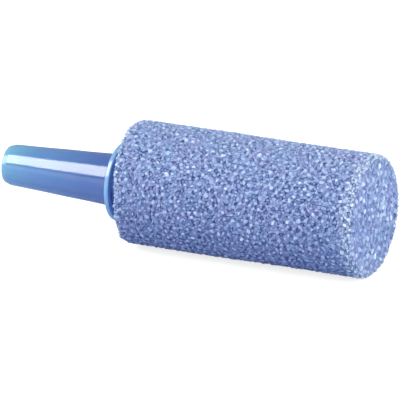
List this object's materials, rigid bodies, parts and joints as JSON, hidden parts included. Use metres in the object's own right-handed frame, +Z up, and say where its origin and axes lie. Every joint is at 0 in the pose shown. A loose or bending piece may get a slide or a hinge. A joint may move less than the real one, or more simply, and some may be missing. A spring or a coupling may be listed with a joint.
{
  "type": "air stone",
  "caption": "Cylindrical bonded-grit air stone with a tapered hose stem glued into one end, for bubbling air into an aquarium or pond.",
  "frame": {"origin": "bottom centre of the object's box as it lies on its side, midway between the stem tip and the closed end", "axes": "+X along the stone's axis towards the closed end, so the hose stem points to -X; +Z up from the surface it lies on"},
  "size_m": [0.039, 0.012, 0.012],
  "materials": {
    "bonded_grit": "matte",
    "stem_plastic": "gloss",
    "cured_adhesive": "satin"
  },
  "bodies": {
    "root": {"stone_body": "bonded_grit", "inlet_stem": "stem_plastic", "adhesive_bond": "cured_adhesive"}
  },
  "joints": []
}
